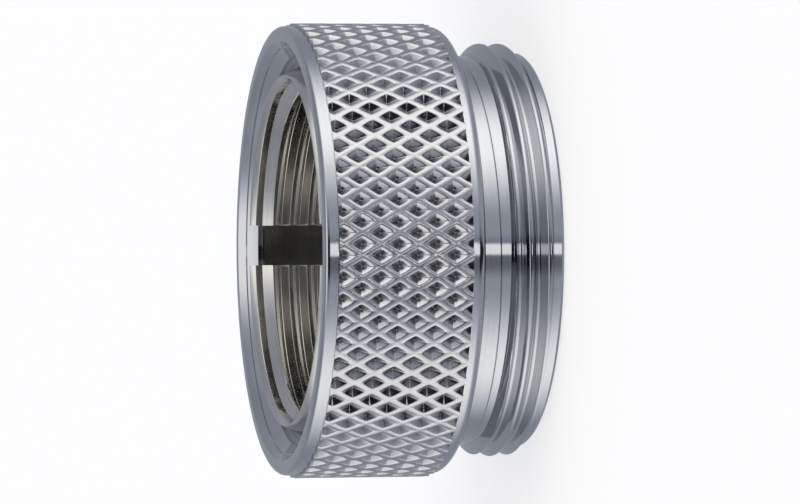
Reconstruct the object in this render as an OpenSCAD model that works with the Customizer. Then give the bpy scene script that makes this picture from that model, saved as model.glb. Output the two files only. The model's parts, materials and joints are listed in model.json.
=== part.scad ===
// Thread reducer for a water outlet: M22 x 1 male thread to M18 x 1 female thread.
// It is turned from one bar, and stands on its male end. The axis is Z, and the open,
// knurled end is on top. Both threads are left as the plain cylinders of their mount
// sizes: the crests of the male thread and the crests of the female thread.

/* [Collar] */
// Diameter over the knurl
knurl_d = 24; // [23.4:0.1:26]
// Height of the rolled knurl above the smooth bands beside it, on the radius
knurl_rise = 0.15; // [0.05:0.05:0.3]
// Length of the collar, from the open face to the shoulder
collar_len = 8.5; // [7:0.1:14]
// Smooth band between the open face and the knurl
front_band = 0.7; // [0.4:0.1:1.5]
// Smooth band between the knurl and the shoulder
back_band = 0.75; // [0.6:0.05:1.5]
// Radius that rounds the shoulder
shoulder_r = 0.55; // [0.2:0.05:0.6]
// Bevel round the open face
face_bevel = 0.2; // [0.1:0.05:0.35]

/* [Knurl] */
// Pits in one ring round the collar
knurl_count = 65; // [50:1:80]
// Angle between the ridges of the knurl and the axis
knurl_angle = 30.6; // [25:0.2:40]
// Width of the flat ridges that are left between the pits
ridge_w = 0.42; // [0.3:0.02:0.6]
// Angle between two opposite faces of the knurling point
point_angle = 90; // [80:5:120]
// From the front edge of the knurl to the middle of its first ring of pits
knurl_lead = 0.23; // [0:0.01:0.4]
// Angle from the X axis to the nearest pit of the first ring
knurl_turn = 2.95; // [0:0.05:5]

/* [Mouth] */
// Diameter of the countersink at the open face
mouth_d = 22.2; // [21.6:0.1:22.8]
// Diameter of the groove that the countersink leads down to
groove_d = 20.6; // [20.3:0.1:21.4]
// Depth of the groove's floor below the open face
groove_depth = 1.25; // [1.1:0.05:2]
// Depth at which the countersink ends
cone_depth = 0.95; // [0.6:0.05:1]
// Diameter of the foot of the lip, where it meets the groove's floor
lip_foot_d = 19.5; // [19:0.1:20]
// Diameter of the lip's edge
lip_edge_d = 18.74; // [18.5:0.02:18.9]
// Diameter of the lip's rim, inside the edge's bevel
lip_rim_d = 18; // [17.6:0.1:18.2]
// Depth of the lip's rim below the open face
lip_depth = 0.2; // [0.1:0.05:0.4]
// Height of the bevel between the rim and the edge of the lip
lip_bevel = 0.22; // [0.1:0.02:0.4]

/* [Female thread] */
// Diameter over the crests of the female thread
female_d = 16.92; // [16.4:0.02:17.2]
// From the open face to the seat at the bottom of the thread
female_len = 5; // [4:0.1:7]
// Diameter of the plain bore inside the lip, which lets the other thread pass
lip_bore_d = 17.9; // [17.6:0.1:18]
// From the open face to the bevel that leads into the thread
lip_bore_len = 0.9; // [0.6:0.1:1.4]
// Diameter of the water passage
passage_d = 15.2; // [13:0.1:16]

/* [Key slots] */
// Width of the two slots for the fitting key
slot_w = 2.15; // [1.5:0.05:3]
// Diameter that the slots reach out to
slot_reach_d = 20.2; // [19.6:0.1:20.2]
// How far the slots lie to one side of the axis
slot_offset = 0.3; // [0:0.05:0.6]

/* [Male thread] */
// Diameter over the crests of the male thread
male_d = 22; // [21.8:0.1:22.4]
// From the shoulder to the male end
male_len = 4.4; // [4:0.1:9]
// Diameter of the relief neck behind the male thread
neck_d = 20.6; // [19.6:0.1:20.8]
// Length of the relief neck
neck_len = 1.6; // [0.8:0.1:2]
// Diameter of the plain pilot at the male end
pilot_d = 20.9; // [20:0.1:21]
// Length of the pilot
pilot_len = 0.55; // [0.3:0.05:1]
// Length of the bevel that leads on to the thread
lead_in = 0.2; // [0.1:0.05:0.3]
// Bevel on the edges of the male end
end_bevel = 0.15; // [0.05:0.05:0.25]

/* [Hidden] */
$fn = 96;
// How far a cutting shape runs past the surface that it cuts
over = 0.5;
// How far a pit's cutting point starts above the knurl
pit_over = 0.02;

total_len = collar_len + male_len;
band_d = knurl_d - 2 * knurl_rise;
seat_z = total_len - female_len;
thread_bevel = (lip_bore_d - female_d) / 2;
knurl_top = total_len - front_band;
knurl_len = collar_len - front_band - back_band;

// The ridges are two sets of helices, so the pits between them are rhombs.
// One ring of pits lies between two pits of the next ring, half a pitch along the axis.
pitch_round = PI * knurl_d / knurl_count;
ring_step = pitch_round / tan(knurl_angle) / 2;
rhomb_in_r = pitch_round * cos(knurl_angle) / 2 - ridge_w / 2;
pit_half_round = rhomb_in_r / cos(knurl_angle);
pit_half_long = rhomb_in_r / sin(knurl_angle);
pit_depth = rhomb_in_r / tan(point_angle / 2);
ring_count = floor((knurl_len - knurl_lead + pit_half_long) / ring_step) + 1;

// One rounded corner of the shoulder, cut away from the collar's outline
module shoulder_corner() {
    translate([band_d / 2 - shoulder_r, male_len])
        difference() {
            translate([0, -over])
                square([shoulder_r + over, shoulder_r + over]);
            translate([0, shoulder_r])
                circle(shoulder_r);
        }
}

// Half section of the outside, without the knurl's raised stretch
module outside_outline() {
    thread_z = pilot_len;
    neck_z = male_len - neck_len;
    difference() {
        polygon([
            [0, 0],
            [pilot_d / 2 - end_bevel, 0],
            [pilot_d / 2, end_bevel],
            [pilot_d / 2, thread_z],
            [male_d / 2, thread_z + lead_in],
            [male_d / 2, neck_z],
            [neck_d / 2, neck_z],
            [neck_d / 2, male_len],
            [band_d / 2, male_len],
            [band_d / 2, total_len - face_bevel],
            [band_d / 2 - face_bevel, total_len],
            [0, total_len]
        ]);
        shoulder_corner();
    }
}

// One pit: the knurling point leaves four faces that meet at the deepest place
module pit() {
    grow = (pit_depth + pit_over) / pit_depth;
    a = pit_half_round * grow;
    b = pit_half_long * grow;
    polyhedron(
        points = [
            [pit_over, a, 0], [pit_over, 0, b], [pit_over, -a, 0], [pit_over, 0, -b],
            [-pit_depth, 0, 0]
        ],
        faces = [[3, 2, 1, 0], [0, 1, 4], [1, 2, 4], [2, 3, 4], [3, 0, 4]]
    );
}

// A ring of pits round the collar, turned by half a pitch in every second ring
module pit_ring(ring) {
    turn = 360 / knurl_count;
    for (i = [0 : knurl_count - 1])
        rotate([0, 0, knurl_turn + turn * (i + (ring % 2) / 2)])
            translate([knurl_d / 2, 0, knurl_top - knurl_lead - ring * ring_step])
                pit();
}

// The knurled stretch, a sleeve that ends square at both smooth bands
module knurl_sleeve() {
    difference() {
        translate([0, 0, knurl_top - knurl_len])
            cylinder(h = knurl_len, d = knurl_d);
        for (ring = [0 : ring_count - 1])
            pit_ring(ring);
    }
}

// What the mouth tool takes away: countersink, groove and the space over the lip
module mouth_cut() {
    rotate_extrude()
        polygon([
            [0, total_len + over],
            [mouth_d / 2, total_len + over],
            [mouth_d / 2, total_len],
            [groove_d / 2, total_len - cone_depth],
            [groove_d / 2, total_len - groove_depth],
            [lip_foot_d / 2, total_len - groove_depth],
            [lip_edge_d / 2, total_len - lip_depth - lip_bevel],
            [lip_rim_d / 2, total_len - lip_depth],
            [0, total_len - lip_depth]
        ]);
}

// The bore for the female thread, the plain bore and bevel before it, and the passage
module bore_cut() {
    translate([0, 0, seat_z])
        cylinder(h = female_len + over, d = female_d);
    translate([0, 0, total_len - lip_bore_len - thread_bevel])
        cylinder(h = thread_bevel, d1 = female_d, d2 = lip_bore_d);
    translate([0, 0, total_len - lip_bore_len])
        cylinder(h = lip_bore_len + over, d = lip_bore_d);
    translate([0, 0, -over])
        cylinder(h = total_len, d = passage_d);
    translate([0, 0, -over])
        cylinder(h = over + end_bevel, d1 = passage_d + 2 * (over + end_bevel), d2 = passage_d);
}

// One saw-like cut across the mouth leaves the two key slots, down to the seat
module slot_cut() {
    intersection() {
        translate([slot_offset - slot_w / 2, -slot_reach_d, seat_z])
            cube([slot_w, 2 * slot_reach_d, female_len + over]);
        cylinder(h = total_len + over, d = slot_reach_d);
    }
}

module reducer_body() {
    color([0.80, 0.81, 0.84])
        difference() {
            union() {
                rotate_extrude()
                    outside_outline();
                knurl_sleeve();
            }
            mouth_cut();
            bore_cut();
            slot_cut();
        }
}

reducer_body();
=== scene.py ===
import json

import bpy
import numpy as np
from mathutils import Matrix, Vector


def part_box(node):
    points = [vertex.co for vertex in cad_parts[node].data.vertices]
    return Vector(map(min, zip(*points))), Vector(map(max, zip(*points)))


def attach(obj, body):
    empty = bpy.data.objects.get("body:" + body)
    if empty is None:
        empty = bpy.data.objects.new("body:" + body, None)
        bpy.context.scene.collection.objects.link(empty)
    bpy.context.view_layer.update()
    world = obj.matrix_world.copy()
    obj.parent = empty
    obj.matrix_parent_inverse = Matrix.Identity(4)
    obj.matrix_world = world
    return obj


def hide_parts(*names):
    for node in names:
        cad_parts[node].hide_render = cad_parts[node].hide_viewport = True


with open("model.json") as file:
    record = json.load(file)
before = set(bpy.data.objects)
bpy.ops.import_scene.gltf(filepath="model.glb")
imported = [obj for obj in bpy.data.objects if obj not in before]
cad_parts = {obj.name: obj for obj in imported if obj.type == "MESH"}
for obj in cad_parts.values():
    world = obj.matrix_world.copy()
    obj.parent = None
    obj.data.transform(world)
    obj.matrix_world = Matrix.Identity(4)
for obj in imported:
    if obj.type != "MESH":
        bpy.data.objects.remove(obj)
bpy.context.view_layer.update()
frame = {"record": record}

# The turned body. The whole fitting is one piece of brass bar, turned on a lathe and
# plated. Its skin is worked out in millimetres, as rings round the Z axis that run up
# the outside, over the open face and down the bore, so that every face looks outwards.
MM = 0.001
mounts = {mount["name"]: mount for mount in frame["record"]["mounts"]}
low_corner, high_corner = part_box("reducer_body")
total_len = high_corner.z / MM
knurl_r = high_corner.x / MM
knurl_rise = 0.15
band_r = knurl_r - knurl_rise
collar_len = 8.5
male_len = total_len - collar_len
neck_r = 10.3
neck_top_z = male_len
shoulder_round = 0.55
back_band = 0.75
front_band = 0.7
edge_break = 0.03
columns = 182
knurl_turn = np.radians(2.95)
skin_points, skin_faces, skin_finish = [], [], []
TURNED, KNURLED, NICKEL = 0, 1, 2


def turned(*corners, steps=4):
    """A turned outline in r and z. It runs straight from corner to corner, and a corner
    given with a third number, its radius, is an arc that touches both of its straights:
    the arc's ends lie radius / tan(half the corner's angle) away from the corner."""
    outline = [corners[0][:2]]
    for before, here, after in zip(corners, corners[1:], corners[2:]):
        if len(here) < 3:
            outline.append(here)
            continue
        corner = np.array(here[:2], float)
        back = np.array(before[:2]) - corner
        ahead = np.array(after[:2]) - corner
        back /= np.linalg.norm(back)
        ahead /= np.linalg.norm(ahead)
        half = np.arccos(np.clip(back @ ahead, -1, 1)) / 2
        centre = corner + (back + ahead) / np.linalg.norm(back + ahead) * here[2] / np.sin(half)
        first = corner + back * here[2] / np.tan(half) - centre
        last = corner + ahead * here[2] / np.tan(half) - centre
        sweep = np.pi - 2 * half
        for step in np.arange(steps + 1) / steps * sweep:
            outline.append(centre + (first * np.sin(sweep - step) + last * np.sin(step)) / np.sin(sweep))
    outline.append(corners[-1][:2])
    return np.array(outline, float).T


def ring_angle(column, count=columns):
    """The angle of a column of points: equal steps round the axis, from a pit of the knurl."""
    return knurl_turn + 2 * np.pi * column / count


def points_at(r, z, angle):
    """Points at radius r, height z and the given angle round the Z axis."""
    r, z, angle = np.broadcast_arrays(r, z, angle)
    return np.stack([r * np.cos(angle), r * np.sin(angle), z], axis=-1)


def add_skin(points, finish, lean=None):
    """Keeps a grid of points, as rows along the outline and columns round the axis, as two
    triangles for each four neighbours. lean says where the shared edge runs the other way."""
    rows, count = points.shape[:2]
    place = np.arange(rows * count).reshape(rows, count)
    a, b, c, d = place[:-1, :-1], place[:-1, 1:], place[1:, 1:], place[1:, :-1]
    lean = np.zeros(a.shape, bool) if lean is None else lean
    first = np.where(lean[..., None], np.stack([a, b, d], -1), np.stack([a, b, c], -1))
    second = np.where(lean[..., None], np.stack([b, c, d], -1), np.stack([a, c, d], -1))
    faces = np.concatenate([first.reshape(-1, 3), second.reshape(-1, 3)])
    return place + keep_faces(points.reshape(-1, 3), faces, finish)


def keep_faces(points, faces, finish):
    """Adds loose points and the triangles between them to the skin, and gives the number of
    the first of these points."""
    start = sum(len(kept) for kept in skin_points)
    skin_points.append(points)
    skin_faces.append(faces + start)
    skin_finish.append(np.full(len(faces), finish))
    return start


all_columns = np.arange(columns + 1)


def add_turned(outline, finish):
    """Keeps a turned outline, carried once round the axis."""
    r, z = outline
    add_skin(points_at(r[:, None], z[:, None], ring_angle(all_columns)), finish)


add_turned(turned(
    (neck_r, neck_top_z - 0.6), (neck_r, neck_top_z, 0.05), (band_r, neck_top_z, shoulder_round),
    (band_r, neck_top_z + shoulder_round + 0.02), steps=8), TURNED)

# The knurl. Two sets of ridges cross on the collar where the wheels pressed rows of
# four-sided pits into it, so it stands a little proud of the smooth bands beside it.
# Each ring of pits lies between the pits of the next ring.
knurl_count = 65
knurl_angle = np.radians(30.6)
knurl_lead = 0.23
pit_edge = 0.625
pit_swell_round, pit_swell_side = 0.1, 0.09
edge_blend = 0.05
pit_depth = 0.38
ridge_dome = 0.022
crease_half, crease_lift = 0.09, 0.7
knurl_top_z = total_len - front_band
knurl_foot_z = male_len + back_band
half_pitch = np.pi / knurl_count
ring_step = knurl_r * half_pitch / np.tan(knurl_angle)
first_pit_z = knurl_top_z - knurl_lead


def pit_cell():
    """One pit and its share of the ridges: rings of points round the pit's middle, where
    |along| + |around| is the ring's share of the cell. The pit's four faces sink in
    proportion to how far that sum is short of the pit's edge. Past it the ridge rises as a
    shallow parabola, and a short parabola blends the two. The pit's sides swell a little,
    and the creases between its faces are lifted, so that they look worn round."""
    side = np.array([0, crease_half, 1 / 3, 2 / 3, 1 - crease_half])
    corners = np.array([(1, 0), (0, 1), (-1, 0), (0, -1)])
    rim = np.concatenate([(1 - side)[:, None] * here + side[:, None] * there
                          for here, there in zip(corners, np.roll(corners, -1, axis=0))])
    share = np.array([0.07, pit_edge - edge_blend, pit_edge, pit_edge + edge_blend, 0.84, 1])[:, None]
    turned_round = np.abs(rim[:, 1])
    swell = pit_swell_round * turned_round + pit_swell_side * np.sin(np.pi * turned_round)
    fade = np.clip((1 - share) / (1 - pit_edge - edge_blend), 0, 1)
    spots = (share * (1 + swell * fade))[..., None] * rim
    on_crease = np.arange(len(rim)) % len(side) == 0
    inside = share * (1 + crease_lift * crease_half * on_crease)
    short = pit_edge - inside
    blended = np.where(np.abs(short) < edge_blend,
                       (short + edge_blend) ** 2 / (4 * edge_blend), np.maximum(short, 0))
    dome = ridge_dome * np.clip((1 - share) / (1 - pit_edge), 0, 1) ** 2
    sunk = dome + (pit_depth - ridge_dome) * blended / pit_edge
    deepest = ridge_dome + (pit_depth - ridge_dome) * (1 - 0.07 * crease_lift / pit_edge)
    points = np.concatenate([[(0, 0)], spots.reshape(-1, 2)])
    depths = np.concatenate([[deepest], sunk.ravel()])
    count = len(rim)
    ring = 1 + np.arange(len(share) * count).reshape(-1, count)
    after = np.roll(ring, -1, axis=1)
    fan = np.stack([0 * ring[0], ring[0], after[0]], -1)
    lower = np.stack([ring[:-1], ring[1:], after[1:]], -1).reshape(-1, 3)
    upper = np.stack([ring[:-1], after[1:], after[:-1]], -1).reshape(-1, 3)
    return points, depths, np.concatenate([fan, lower, upper])


def cut_level(points, faces, level, keep):
    """Cuts a net of triangles at a height and keeps its upper (1) or lower (-1) part. A cut
    triangle's lone corner comes first, and the new points lie on its two sides, in
    proportion to how far the corners are above and below the cut."""
    above = keep * (points[:, 2] - level)
    inside = above > 0
    kept = inside[faces].sum(axis=1)
    cut = faces[(kept == 1) | (kept == 2)]
    lone_inside = inside[cut].sum(axis=1) == 1
    lone = (inside[cut] == lone_inside[:, None]).argmax(axis=1)
    cut = np.take_along_axis(cut, (lone[:, None] + np.arange(3)) % 3, axis=1)
    crossings = []
    for other in (1, 2):
        share = above[cut[:, 0]] / (above[cut[:, 0]] - above[cut[:, other]])
        crossing = points[cut[:, 0]] + (points[cut[:, other]] - points[cut[:, 0]]) * share[:, None]
        crossing[:, 2] = level
        crossings.append(crossing)
    first = len(points) + np.arange(len(cut))
    second = first + len(cut)
    one, two = lone_inside, ~lone_inside
    faces = np.concatenate([
        faces[kept == 3], np.stack([cut[:, 0], first, second], -1)[one],
        np.stack([first, cut[:, 1], cut[:, 2]], -1)[two], np.stack([first, cut[:, 2], second], -1)[two]])
    return np.concatenate([points] + crossings), faces


def level_ring(points, level):
    """The net's points at a height, in order round the axis, as angles and radii. Where the
    knurl's end crosses the smooth band's radius, the nearer point is put on that radius."""
    there = np.abs(points[:, 2] - level) < 1e-9
    angle = np.round(np.arctan2(points[there, 1], points[there, 0]) % (2 * np.pi), 9)
    angle, chosen, back = np.unique(angle, return_index=True, return_inverse=True)
    proud = np.linalg.norm(points[there][chosen, :2], axis=1) - band_r
    after = np.roll(proud, -1)
    crosses = proud * after < 0
    proud[crosses & (np.abs(proud) <= np.abs(after))] = 0
    proud[np.roll(crosses & (np.abs(proud) > np.abs(after)), 1)] = 0
    points[there] = points_at(band_r + proud, level, angle)[back.ravel()]
    return angle, band_r + proud


cell_points, cell_depths, cell_faces = pit_cell()
ring_numbers = np.arange(-1, int((knurl_top_z - knurl_foot_z) / ring_step) + 2)
pit_numbers = np.arange(knurl_count)
cell_z = first_pit_z - ring_step * (ring_numbers[:, None, None] + cell_points[:, 0])
cell_turn = 2 * pit_numbers[None, :, None] + ring_numbers[:, None, None] % 2 + cell_points[:, 1]
knurl_net = points_at(knurl_r - cell_depths, cell_z, knurl_turn + half_pitch * cell_turn).reshape(-1, 3)
starts = np.arange(len(ring_numbers) * knurl_count) * len(cell_points)
knurl_faces = (starts[:, None, None] + cell_faces).reshape(-1, 3)
knurl_net, knurl_faces = cut_level(knurl_net, knurl_faces, knurl_top_z, -1)
knurl_net, knurl_faces = cut_level(knurl_net, knurl_faces, knurl_foot_z, 1)
foot_angle, foot_r = level_ring(knurl_net, knurl_foot_z)
top_angle, top_r = level_ring(knurl_net, knurl_top_z)
used, renumbered = np.unique(knurl_faces, return_inverse=True)
keep_faces(knurl_net[used], renumbered.reshape(-1, 3), KNURLED)


def add_step(angle, knurl_end_r, z, outwards):
    """The flat ring at one end of the knurl, between the knurl and the smooth band."""
    rims = [np.full(knurl_end_r.shape, band_r), knurl_end_r]
    rims = np.array(rims if outwards else rims[::-1])
    angle, rims = np.append(angle, angle[0]), np.concatenate([rims, rims[:, :1]], axis=1)
    add_skin(points_at(rims, z, angle), KNURLED)


add_step(foot_angle, foot_r, knurl_foot_z, True)
add_step(top_angle, top_r, knurl_top_z, False)


def add_band(fine_angle, fine_z, plain_z):
    """A smooth band that joins a ring of many points at one height to a plain ring at another.
    Each step of one ring is a triangle with the point that the other ring has reached: a
    fine step counts as taken at its middle, and a plain step at its end."""
    plain_angle = np.sort(ring_angle(np.arange(columns)) % (2 * np.pi))
    fine_number = np.arange(len(fine_angle))
    plain_number = np.arange(columns)
    middle = fine_angle + ((np.roll(fine_angle, -1) - fine_angle) % (2 * np.pi)) / 2
    last_wraps = middle[-1] >= 2 * np.pi
    middles = np.sort(middle % (2 * np.pi))
    plain_reached = (np.searchsorted(plain_angle, middle % (2 * np.pi), "right") - 1) % columns
    plain_next = np.roll(plain_number, -1)
    fine_reached = (np.searchsorted(middles, plain_angle[plain_next], "right") - last_wraps) % len(middles)
    count = len(fine_angle)
    fans = np.stack([fine_number, np.roll(fine_number, -1), count + plain_reached], -1)
    bases = np.stack([fine_reached, count + plain_next, count + plain_number], -1)
    faces = np.concatenate([fans, bases])
    faces = faces if plain_z > fine_z else faces[:, ::-1]
    rings = [points_at(band_r, fine_z, fine_angle), points_at(band_r, plain_z, plain_angle)]
    keep_faces(np.concatenate(rings), faces, TURNED)


face_round = 0.25
add_band(foot_angle, knurl_foot_z, neck_top_z + shoulder_round + 0.02)
add_band(top_angle, knurl_top_z, total_len - face_round - 0.02)

# The mouth. A countersink with one fine turned line leads down to a groove, and the
# groove leaves a thin lip standing round the bore.
mouth_r = 11.1
groove_r = 10.3
cone_depth = 0.95
groove_depth = 1.25
line_depth, line_half = 0.4, 0.03
slope = (mouth_r - groove_r) / cone_depth


def cone_point(depth, sunk=0.0):
    """A point on the countersink at a depth below the open face, or sunk into the metal."""
    return mouth_r - slope * depth + sunk, total_len - depth - sunk * slope


add_turned(turned(
    (band_r, total_len - face_round - 0.02), (band_r, total_len, face_round), (mouth_r, total_len, edge_break),
    cone_point(line_depth - line_half), cone_point(line_depth, 0.02), cone_point(line_depth + line_half),
    (groove_r, total_len - cone_depth, edge_break), (groove_r, total_len - groove_depth)), TURNED)

# The key slots. One straight cut across the mouth leaves a slot on each side of the bore,
# a little to one side of the axis. The columns of the bore's skin bend beside a slot, so
# that its walls are flat: a column there keeps its X instead of its angle.
slot_width = 2.15
slot_offset = 0.3
slot_reach_r = 10.1
slot_bend_columns = 6
seat_depth = 5.0
seat_z = total_len - seat_depth
passage_r = 7.6
female_r = mounts["female_thread"]["dims"]["r_mm"]
slot_x = slot_offset + slot_width / 2 * np.array([-1, 1])
middle_r = (female_r + slot_reach_r) / 2


def slot_angle(side, x, r):
    """The angle of a point at radius r whose X is x, on the far side (1) or near side (-1)."""
    return side * (np.pi / 2 - np.arcsin(x / r))


slots = {}
for side in (-1, 1):
    edge_x = slot_x[::-side]
    edges = (slot_angle(side, edge_x, middle_r) - knurl_turn) % (2 * np.pi) / (2 * np.pi) * columns
    slots[side] = (int(round(edges[0])), int(round(edges[1])), edge_x)


def bore_angle(column, r):
    """A column's angle in the bore. In a slot, X goes in equal steps from wall to wall. Beside
    it the columns give way by the wall's own shift, less with each column, and the shift
    fades to nothing at the groove's wall and at the passage."""
    angle = ring_angle(column) + 0 * r
    fade = np.clip((groove_r - r) / (groove_r - slot_reach_r), 0, 1)
    fade = fade * np.clip((r - passage_r) / (female_r - passage_r), 0, 1)
    for side, (first, last, edge_x) in slots.items():
        away = (column - first + columns / 2) % columns - columns / 2
        inside = np.clip(away, 0, last - first)
        x = edge_x[0] + (edge_x[1] - edge_x[0]) * inside / (last - first)
        shift = slot_angle(side, x, r) - ring_angle(first + inside)
        shift = (shift + np.pi) % (2 * np.pi) - np.pi
        beyond = np.maximum(np.maximum(-away, away - last + first), 0)
        angle = angle + shift * fade * np.clip(1 - beyond / slot_bend_columns, 0, 1)
    return angle


def add_bore(outline, finish, column=all_columns):
    """Keeps an outline of the bore, carried along the given columns."""
    r, z = (values[:, None] if values.ndim == 1 else values for values in outline)
    return add_skin(points_at(r, z, bore_angle(column, r)), finish)


groove_z = total_len - groove_depth
add_bore(np.array([[groove_r, slot_reach_r], [groove_z, groove_z]]), TURNED)
add_bore(np.array([[female_r, passage_r], [seat_z, seat_z]]), NICKEL)
slot_outline = np.array([[slot_reach_r, slot_reach_r, female_r], [groove_z, seat_z, seat_z]])
slot_floors = {}
for side, (first, last, edge_x) in slots.items():
    slot_floors[side] = add_bore(slot_outline, NICKEL, np.arange(first, last + 1))[1]

# The female thread and the lip. The lip's bore lets the other fitting's thread pass, and
# a bevel leads from it into the M18 x 1 thread, which ends just short of the seat. The
# lip's rim is narrow, and slopes on both sides.
pitch = 1.0
female_depth = 0.5413
lip_foot_r = 9.75
lip_edge_r, lip_edge_depth = 9.37, 0.45
lip_rim_r, lip_rim_depth, lip_inner_depth = 9.24, 0.22, 0.54
lip_bore_r, lip_bore_depth = 8.95, 0.9
thread_end_depth = 4.75
groove_at_far_side = 1.9
thread_in_depth = (1.0, 1.3)
thread_out_depth = (4.2, 4.55)
flank = np.tan(np.radians(30))


def thread_outline(flat, depth, flat_round, foot_round):
    """One pitch of a thread: a flat top, flanks at 30 degrees, and a flat foot, as the
    distance along the axis from the top's middle and the depth below the top."""
    foot = flat / 2 + depth * flank
    half = turned((0, 0), (flat / 2, 0, flat_round), (foot, -depth, foot_round), (pitch / 2, -depth), steps=3)
    return np.concatenate([-half[0][:0:-1], half[0][:-1]]), np.concatenate([half[1][:0:-1], half[1][:-1]])


def smooth_step(value, start, end):
    """Rises from 0 at start to 1 at end, as the cubic 3 s^2 - 2 s^3."""
    share = np.clip((value - start) / (end - start), 0, 1)
    return share * share * (3 - 2 * share)


def helix_rows(outline, crest_z, low_z, high_z, column):
    """Rows that follow a right-hand helix: each rises one pitch a turn, and where it would
    pass the thread's lower or upper end it runs along that end instead."""
    along, _ = outline
    turns = np.arange(np.floor(low_z - crest_z) - 2, np.ceil(high_z - crest_z) + 2)
    places = (turns[:, None] * pitch + along[None, :]).ravel()
    lift = pitch * ring_angle(column) / (2 * np.pi)
    return np.clip(crest_z + places[:, None] + lift[None, :], low_z, high_z)


def thread_height(outline, z, crest_z, column):
    """How far the thread's surface is below its top at height z, and the height of the
    middle of the turn that it belongs to."""
    along, depth = outline
    lift = pitch * ring_angle(column) / (2 * np.pi)
    place = (z - crest_z - lift + pitch / 2) % pitch - pitch / 2
    return np.interp(place, np.append(along, pitch / 2), np.append(depth, depth[0])), z - place


female_flat = pitch / 4
female_outline = thread_outline(pitch - female_flat - 2 * female_depth * flank, female_depth, 0.05, 0.02)


far_lift = pitch * (np.pi / 2) / (2 * np.pi)
root_z = total_len - groove_at_far_side - far_lift
lip_bore_z = total_len - lip_bore_depth
bevel_z = lip_bore_z - (lip_bore_r - female_r)


def female_surface(column, z):
    """The female thread's radius at height z. The groove's radius is the bore's plus what is
    left of the thread's depth, and it runs in and out gradually at its two ends. The bevel,
    at 45 degrees, takes over where it lies further out."""
    below, turn_z = thread_height(female_outline, z, root_z, column)
    turn_depth = total_len - turn_z
    cut = smooth_step(turn_depth, *thread_in_depth) * (1 - smooth_step(turn_depth, *thread_out_depth))
    return female_r + np.maximum(cut * (female_depth + below), np.maximum(z - bevel_z, 0))


lip_top = turned(
    (slot_reach_r, groove_z), (lip_foot_r, groove_z, 0.1), (lip_edge_r, total_len - lip_edge_depth, 0.04),
    (lip_rim_r, total_len - lip_rim_depth, 0.05), (lip_bore_r, total_len - lip_inner_depth, 0.04),
    (lip_bore_r, lip_bore_z))
slot_walls = []
for side in (-1, 1):
    start, end = slots[side][1], slots[-side][0]
    column = np.arange(start, end + columns * (end < start) + 1)
    bevel_rows = np.linspace(lip_bore_z, bevel_z, 12)[1:, None] + 0 * column
    low_z = total_len - thread_end_depth
    thread_rows = helix_rows(female_outline, root_z, low_z, bevel_z, column)[::-1]
    thread_z = np.concatenate([bevel_rows, thread_rows])
    seat_edge = np.full((1, len(column)), female_r), np.full((1, len(column)), seat_z)
    lip_rows = np.repeat(lip_top[:, :, None], len(column), axis=2)
    whole_r = np.concatenate([lip_rows[0], female_surface(column, thread_z), seat_edge[0]])
    whole_z = np.concatenate([lip_rows[1], thread_z, seat_edge[1]])
    edges = add_bore((whole_r, whole_z), NICKEL, column)
    slot_walls.append(np.append(edges[:, 0], slot_floors[side][-1]))
    slot_walls.append(np.append(edges[:, -1], slot_floors[-side][0])[::-1])

# The male thread. The short end is threaded M22 x 1 between the relief neck and a plain
# pilot. A bevel leads on to it, and it rises out of the neck along a cone. The tool has
# left a fine helical line on the neck as it ran out.
male_r = mounts["male_thread"]["dims"]["r_mm"] - 0.04
male_depth = 0.56
neck_len = 1.6
pilot_r = 10.45
pilot_len = 0.55
lead_in = 0.2
end_bevel = 0.15
crest_round = 0.16
root_round = 0.12
crest_at_near_side = 0.86
thread_top_z = male_len - neck_len
male_outline = thread_outline(2 * crest_round * flank, male_depth, crest_round * 0.999, root_round)
crest_z = crest_at_near_side - pitch * (3 * np.pi / 2) / (2 * np.pi)
lead_z = pilot_len + lead_in
cone_foot_z = thread_top_z - (male_r - neck_r) * flank
neck_line_at_near_side = 3.335
neck_line_half, neck_line_depth = 0.04, 0.03


def male_surface(z):
    """The male thread's radius at height z: the crest's radius less the depth of the
    outline, held in by the bevel that leads on to it and by the cone at the neck."""
    below, _ = thread_height(male_outline, z, crest_z, all_columns)
    bevel = pilot_r + (male_r - pilot_r) * (z - pilot_len) / lead_in
    neck_cone = neck_r + (thread_top_z - z) / flank
    return np.minimum(male_r + below, np.minimum(np.maximum(bevel, pilot_r), neck_cone))


lead_rows = np.linspace(pilot_len, lead_z, 6)[:, None] + 0 * all_columns
male_rows = helix_rows(male_outline, crest_z, lead_z, cone_foot_z, all_columns)
cone_rows = np.linspace(cone_foot_z, thread_top_z, 14)[:, None] + 0 * all_columns
for rows in (lead_rows, male_rows, cone_rows):
    add_skin(points_at(male_surface(rows), rows, ring_angle(all_columns)), TURNED)
step_rows = np.stack([np.full(columns + 1, pilot_r), male_surface(lead_rows)[0]])
add_skin(points_at(step_rows, pilot_len, ring_angle(all_columns)), TURNED)

neck_line = np.array([-pitch / 2, -neck_line_half, 0, neck_line_half]), np.array([0, 0, -neck_line_depth, 0])
neck_line_z = neck_line_at_near_side - pitch * (3 * np.pi / 2) / (2 * np.pi)
plain_neck_z = neck_top_z - 0.6
neck_rows = helix_rows(neck_line, neck_line_z, thread_top_z, plain_neck_z, all_columns)
below, _ = thread_height(neck_line, neck_rows, neck_line_z, all_columns)
below = below * np.clip(np.minimum(neck_rows - thread_top_z, plain_neck_z - neck_rows) / 0.15, 0, 1)
add_skin(points_at(neck_r + below, neck_rows, ring_angle(all_columns)), TURNED)

# The water passage and the male end, which the fitting stands on. The passage is nickel
# darkened by painted shade, and the end face is bright chrome again.
add_turned(turned((passage_r, seat_z), (passage_r, end_bevel)), NICKEL)
add_turned(turned(
    (passage_r, end_bevel), (passage_r + end_bevel, 0),
    (pilot_r - end_bevel, 0, edge_break), (pilot_r, end_bevel, edge_break), (pilot_r, pilot_len)), TURNED)

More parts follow.
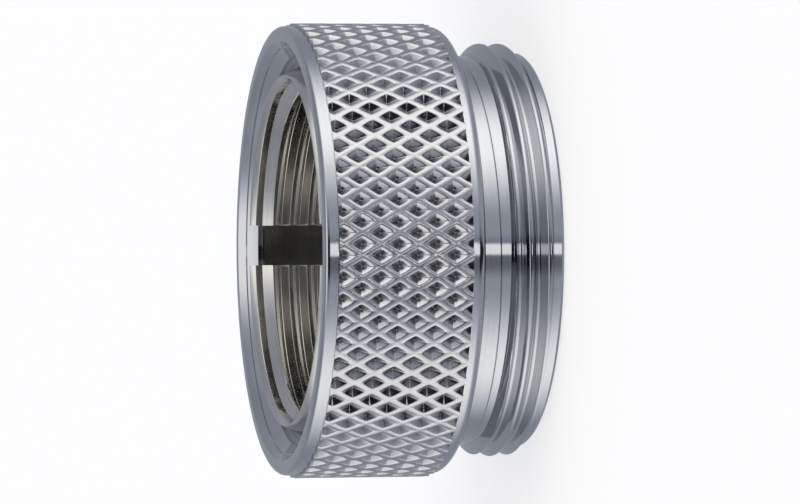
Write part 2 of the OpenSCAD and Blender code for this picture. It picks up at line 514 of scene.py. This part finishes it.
# The finished skin. Points that the stretches share become one, triangles that have
# shrunk to a line are dropped, and the slots' flat side walls close it.
weld_grid = 1e-5
crease = np.radians(33)
all_points = np.concatenate(skin_points)
keys = np.floor(all_points / weld_grid + 0.37).astype(np.int64)
_, chosen, welded = np.unique(keys, axis=0, return_index=True, return_inverse=True)
welded = welded.ravel()
triangles = welded[np.concatenate(skin_faces)]
real = (triangles != np.roll(triangles, 1, axis=1)).all(axis=1)
walls = [welded[wall][welded[wall] != np.roll(welded[wall], 1)] for wall in slot_walls]
faces = triangles[real].tolist() + [wall.tolist() for wall in walls]
finish = np.concatenate(skin_finish + [np.full(len(walls), NICKEL)])
finish = finish[np.append(real, np.full(len(walls), True))]
skin = bpy.data.meshes.new("reducer")
skin.from_pydata(all_points[chosen] * MM, [], faces)
skin.polygons.foreach_set("material_index", finish.astype(np.int32))
skin.polygons.foreach_set("use_smooth", np.full(len(faces), True))
skin.set_sharp_from_angle(angle=crease)

# The knurl's shine. Each point's normal is the sum of the cross products of the sides of
# the triangles that meet there, so that the wide faces of the pits shine as flat ones and
# the narrow ones between them take up the bend.
corners = all_points[chosen][triangles[real]]
crosses = np.cross(corners[:, 1] - corners[:, 0], corners[:, 2] - corners[:, 0])
steep = np.abs(crosses[:, 2]) < 0.99 * np.linalg.norm(crosses, axis=1)
pressed = (finish[:len(corners)] == KNURLED) & steep
around_point = triangles[real][pressed]
shine = np.zeros((len(chosen), 3))
np.add.at(shine, around_point.ravel(), np.repeat(crosses[pressed], 3, axis=0))
corner_shine = np.zeros((len(skin.loops), 3))
corner_shine[:3 * len(corners)].reshape(-1, 3, 3)[pressed] = shine[around_point]
lengths = np.maximum(np.linalg.norm(corner_shine, axis=1, keepdims=True), 1e-12)
skin.normals_split_custom_set((corner_shine / lengths).tolist())
reducer = bpy.data.objects.new("reducer", skin)
bpy.context.scene.collection.objects.link(reducer)
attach(reducer, "root")
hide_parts("reducer_body")


def new_material(name):
    """A material with nodes, its tree, and its Principled shader."""
    material = bpy.data.materials.new(name)
    material.use_nodes = True
    return material, material.node_tree, material.node_tree.nodes["Principled BSDF"]


def number(tree, operation, *inputs):
    """A Math node on numbers or other nodes' outputs, and gives its own output."""
    node = tree.nodes.new("ShaderNodeMath")
    node.operation = operation
    for socket, value in zip(node.inputs, inputs):
        if isinstance(value, (int, float)):
            socket.default_value = value
        else:
            tree.links.new(value, socket)
    return node.outputs[0]


def rescale(tree, value, low, high, new_low, new_high):
    """Carries the range low to high over to new_low to new_high, and holds it there."""
    node = tree.nodes.new("ShaderNodeMapRange")
    tree.links.new(value, node.inputs["Value"])
    for socket, edge in zip(("From Min", "From Max", "To Min", "To Max"), (low, high, new_low, new_high)):
        node.inputs[socket].default_value = edge
    return node.outputs["Result"]


def place_on_part(tree):
    """Where a point is on the fitting, in millimetres: x, y, z and the radius."""
    spot = tree.nodes.new("ShaderNodeSeparateXYZ")
    tree.links.new(tree.nodes.new("ShaderNodeTexCoord").outputs["Object"], spot.inputs[0])
    x, y, z = (number(tree, "MULTIPLY", output, 1 / MM) for output in spot.outputs)
    square = number(tree, "MULTIPLY_ADD", x, x, number(tree, "MULTIPLY", y, y))
    return x, y, z, number(tree, "SQRT", square)


def vector(tree, *parts):
    """A vector from three numbers."""
    node = tree.nodes.new("ShaderNodeCombineXYZ")
    for socket, part in zip(node.inputs, parts):
        tree.links.new(part, socket)
    return node.outputs[0]


def cloud(tree, where, scale, detail):
    """Noise from 0 to 1, as a number, at a place given as a vector."""
    node = tree.nodes.new("ShaderNodeTexNoise")
    tree.links.new(where, node.inputs["Vector"])
    node.inputs["Scale"].default_value = scale
    node.inputs["Detail"].default_value = detail
    return node.outputs["Fac"]


def tint(tree, value, metal, dark, light):
    """Sets the metal's colour between two tones."""
    mix = tree.nodes.new("ShaderNodeMix")
    mix.data_type = "RGBA"
    tree.links.new(value, mix.inputs["Factor"])
    mix.inputs["A"].default_value = dark
    mix.inputs["B"].default_value = light
    tree.links.new(mix.outputs["Result"], metal.inputs["Base Color"])


def emboss(tree, height, metal, distance):
    """Gives the metal a bump of the given height in metres."""
    bump = tree.nodes.new("ShaderNodeBump")
    tree.links.new(height, bump.inputs["Height"])
    bump.inputs["Distance"].default_value = distance
    tree.links.new(bump.outputs["Normal"], metal.inputs["Normal"])


# Chrome on the turned bands, the neck and the male thread. The tool's feed leaves fine
# rings, seen as streaks that run round the axis, and the plating is a little clouded.
material, tree, metal = new_material("turned_chrome")
skin.materials.append(material)
metal.inputs["Metallic"].default_value = 1
x, y, z, r = place_on_part(tree)
along = number(tree, "ADD", z, r)
streaks = cloud(tree, vector(tree, number(tree, "MULTIPLY", x, 0.02), number(tree, "MULTIPLY", y, 0.02), along), 9, 3)
rings = cloud(tree, vector(tree, number(tree, "MULTIPLY", x, 0.004), number(tree, "MULTIPLY", y, 0.004), along), 28, 1)
clouds = cloud(tree, vector(tree, x, y, z), 0.5, 3)
tint(tree, number(tree, "MULTIPLY_ADD", streaks, 0.7, number(tree, "MULTIPLY", clouds, 0.3)), metal,
     (0.455, 0.46, 0.475, 1), (0.555, 0.56, 0.57, 1))
tree.links.new(rescale(tree, number(tree, "MULTIPLY_ADD", clouds, 0.5, number(tree, "MULTIPLY", streaks, 0.5)),
                       0.3, 0.7, 0.045, 0.09), metal.inputs["Roughness"])
emboss(tree, number(tree, "MULTIPLY_ADD", rings, 0.5, streaks), metal, 0.0000015)

# Chrome on the knurl. Its ridges are burnished by the wheels and keep the plain chrome tone.
# Painted shade darkens the colour from the ridges down to the bottom of the pits, mixed with
# random clouded tone. The pits are a little rougher towards the bottom, and the pressed metal
# there is faintly creased.
material, tree, metal = new_material("knurled_chrome")
skin.materials.append(material)
metal.inputs["Metallic"].default_value = 1
x, y, z, r = place_on_part(tree)
# Painted shade: depth runs from 0 at the bottom of the pits to 1 near the ridges. It darkens the colour towards the
# bottom, and also makes the bottom a little rougher.
depth = rescale(tree, r, knurl_r - 0.26, knurl_r - 0.03, 0, 1)
where = vector(tree, x, y, z)
grain = cloud(tree, where, 7, 4)
clouds = cloud(tree, where, 1.3, 2)
tint(tree, number(tree, "MULTIPLY_ADD", depth, 0.6, number(tree, "MULTIPLY", clouds, 0.4)), metal,
     (0.29, 0.286, 0.29, 1), (0.56, 0.553, 0.555, 1))
tree.links.new(number(tree, "ADD", rescale(tree, depth, 0, 1, 0.13, 0.08), rescale(tree, grain, 0.35, 0.7, -0.02, 0.04)),
               metal.inputs["Roughness"])
emboss(tree, grain, metal, 0.000008)

# Nickel in the bore, where the chrome doesn't reach: warmer and duller, with tool marks
# that follow the thread. Painted shade darkens its colour out from the lip's rim towards the
# slots' back walls, and in from the thread across the seat and down the water passage.
material, tree, metal = new_material("nickel_bore")
skin.materials.append(material)
metal.inputs["Metallic"].default_value = 1
x, y, z, r = place_on_part(tree)
# Painted shade: the colour darkens from the lip's rim out to the slots' back walls.
slot_shade_fade = rescale(tree, r, lip_rim_r, slot_reach_r, 0.5, 0)
# Painted shade: the colour darkens in from the thread's bore across the seat and down the water passage.
passage_shade_fade = rescale(tree, r, passage_r, female_r, 0.05, 0.5)
streaks = cloud(tree, vector(tree, number(tree, "MULTIPLY", x, 0.05), number(tree, "MULTIPLY", y, 0.05),
                             number(tree, "ADD", z, r)), 7, 3)
clouds = cloud(tree, vector(tree, x, y, z), 0.6, 3)
tone = number(tree, "MULTIPLY_ADD", streaks, 0.38, number(tree, "MULTIPLY", clouds, 0.12))
# Painted shade: the smaller of the two lifts the colour, so the bore is darkest in the slots and the passage.
painted_shade_lift = number(tree, "MINIMUM", slot_shade_fade, passage_shade_fade)
tint(tree, number(tree, "ADD", tone, painted_shade_lift), metal, (0.2, 0.195, 0.19, 1), (0.74, 0.715, 0.665, 1))
tree.links.new(rescale(tree, clouds, 0.3, 0.7, 0.13, 0.2), metal.inputs["Roughness"])
emboss(tree, streaks, metal, 0.0000025)

# The floor, a plain pale sheet that catches the fitting's shadow. The polished plating
# shows the studio round it, and not this sheet.
floor_half = 2.0
floor_mesh = bpy.data.meshes.new("floor")
floor_corners = np.array([(-1, -1, 0), (1, -1, 0), (1, 1, 0), (-1, 1, 0)]) * floor_half
floor_mesh.from_pydata(floor_corners, [], [(0, 1, 2, 3)])
floor = bpy.data.objects.new("floor", floor_mesh)
floor.visible_glossy = False
bpy.context.scene.collection.objects.link(floor)
material, tree, paper = new_material("pale_floor")
paper.inputs["Base Color"].default_value = (0.72, 0.7, 0.67, 1)
paper.inputs["Roughness"].default_value = 0.9
sight = tree.nodes.new("ShaderNodeLightPath")
seen = number(tree, "MAXIMUM", sight.outputs["Is Camera Ray"], sight.outputs["Is Glossy Ray"])
seen = number(tree, "MAXIMUM", seen, sight.outputs["Is Transmission Ray"])
paper.inputs["Emission Color"].default_value = (1, 1, 1, 1)
tree.links.new(number(tree, "MULTIPLY", seen, 0.56), paper.inputs["Emission Strength"])
floor_mesh.materials.append(material)

# The studio. Pale walls stand all round, with a tall soft panel on each side, a dark gap
# between two curtains behind the camera, and a bright ceiling over the camera's side.
# A bearing is the angle round the Z axis from the camera's side towards +X.
world = bpy.data.worlds.new("studio")
bpy.context.scene.world = world
world.use_nodes = True
studio = world.node_tree
wall_level = 0.48


def fade(tree, value, full, none):
    """1 where the value is at full, 0 where it is at none, and a smooth step between them."""
    node = tree.nodes.new("ShaderNodeMapRange")
    node.interpolation_type = "SMOOTHSTEP"
    tree.links.new(value, node.inputs["Value"])
    node.inputs["From Min"].default_value = none
    node.inputs["From Max"].default_value = full
    return node.outputs["Result"]


way = studio.nodes.new("ShaderNodeSeparateXYZ")
studio.links.new(studio.nodes.new("ShaderNodeTexCoord").outputs["Generated"], way.inputs[0])
bearing = number(studio, "ARCTAN2", way.outputs["X"], number(studio, "MULTIPLY", way.outputs["Y"], -1))
bearing = number(studio, "DEGREES", bearing)
height = number(studio, "DEGREES", number(studio, "ARCSINE", way.outputs["Z"]))
light = number(studio, "ADD", wall_level, 0)


def add_patch(light, middle, reach, edge, level, low, high, height_edge):
    """Adds a soft patch to the studio's light: full within reach of its middle bearing and
    between the heights low and high, and fading to nothing over the edges. In degrees."""
    turned_to = number(studio, "SUBTRACT", bearing, middle)
    away = number(studio, "ABSOLUTE", number(studio, "WRAP", turned_to, 180, -180))
    beyond = number(studio, "MAXIMUM", number(studio, "SUBTRACT", low, height),
                    number(studio, "SUBTRACT", height, high))
    across = fade(studio, away, reach, reach + edge)
    upright = fade(studio, beyond, 0, height_edge)
    return number(studio, "MULTIPLY_ADD", number(studio, "MULTIPLY", across, upright), level, light)


light = add_patch(light, 66, 4, 46, 1.2, -22, 26, 30)
light = add_patch(light, -72, 2, 50, 0.93, -22, 26, 30)
light = add_patch(light, 0, 30, 60, 0.85, 70, 90, 20)
light = add_patch(light, -4, 4, 11, -0.27, -90, 35, 15)
light = add_patch(light, -3, 5, 20, -0.2, 15, 40, 20)
light = add_patch(light, -3, 5, 20, -0.2, -90, -45, 15)
light = add_patch(light, -3, 12, 30, -0.13, 15, 45, 12)
light = add_patch(light, -3, 12, 30, -0.1, -75, -40, 15)
light = add_patch(light, 180, 50, 30, -0.1, -60, 30, 20)
light = add_patch(light, 180, 60, 60, -0.13, 45, 75, 15)
light = add_patch(light, 0.3, 2.8, 0.7, 1.1, -35, 0, 8)
studio.links.new(number(studio, "MAXIMUM", light, 0.02), studio.nodes["Background"].inputs["Strength"])
shade = studio.nodes.new("ShaderNodeMix")
shade.data_type = "RGBA"
studio.links.new(rescale(studio, light, 0.35, 1.3, 0, 1), shade.inputs["Factor"])
shade.inputs["A"].default_value = (0.93, 0.995, 1.15, 1)
shade.inputs["B"].default_value = (1, 1, 1, 1)
studio.links.new(shade.outputs["Result"], studio.nodes["Background"].inputs["Color"])

# The camera looks a little down at the fitting from its near side, and is turned on its
# side, so that the fitting's axis lies across the picture.
look_down = np.radians(12.71)
picture_turn = np.radians(-0.28)
aim_depth = 6.417
aim_distance = 320.8
picture_width, picture_height = 800, 504
aim_pixel = (397.18, 249.78)
focal_pixels = 6055.0
axis_down = np.array([np.cos(look_down) * np.cos(picture_turn), np.cos(look_down) * np.sin(picture_turn), np.sin(look_down)])
side_up = np.array([np.sin(picture_turn), -np.cos(picture_turn), 0])
near = np.cross(axis_down, side_up)
near = near if near[2] < 0 else -near
to_part = np.array([side_up, -near, -axis_down])
aim = np.array([(aim_pixel[0] - (picture_width - 1) / 2) / focal_pixels * aim_distance,
                (aim_pixel[1] - (picture_height - 1) / 2) / focal_pixels * aim_distance, aim_distance])
place = np.array([0, 0, total_len - aim_depth]) - to_part @ aim
camera_data = bpy.data.cameras.new("camera")
camera_data.sensor_width = 36
camera_data.lens = 36 * focal_pixels / picture_width
camera_data.clip_start = 0.01
camera = bpy.data.objects.new("camera", camera_data)
bpy.context.scene.collection.objects.link(camera)
axes = to_part @ np.diag([1, -1, -1])
camera.matrix_world = Matrix([[*axes[0], place[0] * MM], [*axes[1], place[1] * MM], [*axes[2], place[2] * MM], [0, 0, 0, 1]])
bpy.context.scene.camera = camera
bpy.context.scene.view_settings.view_transform = "Standard"
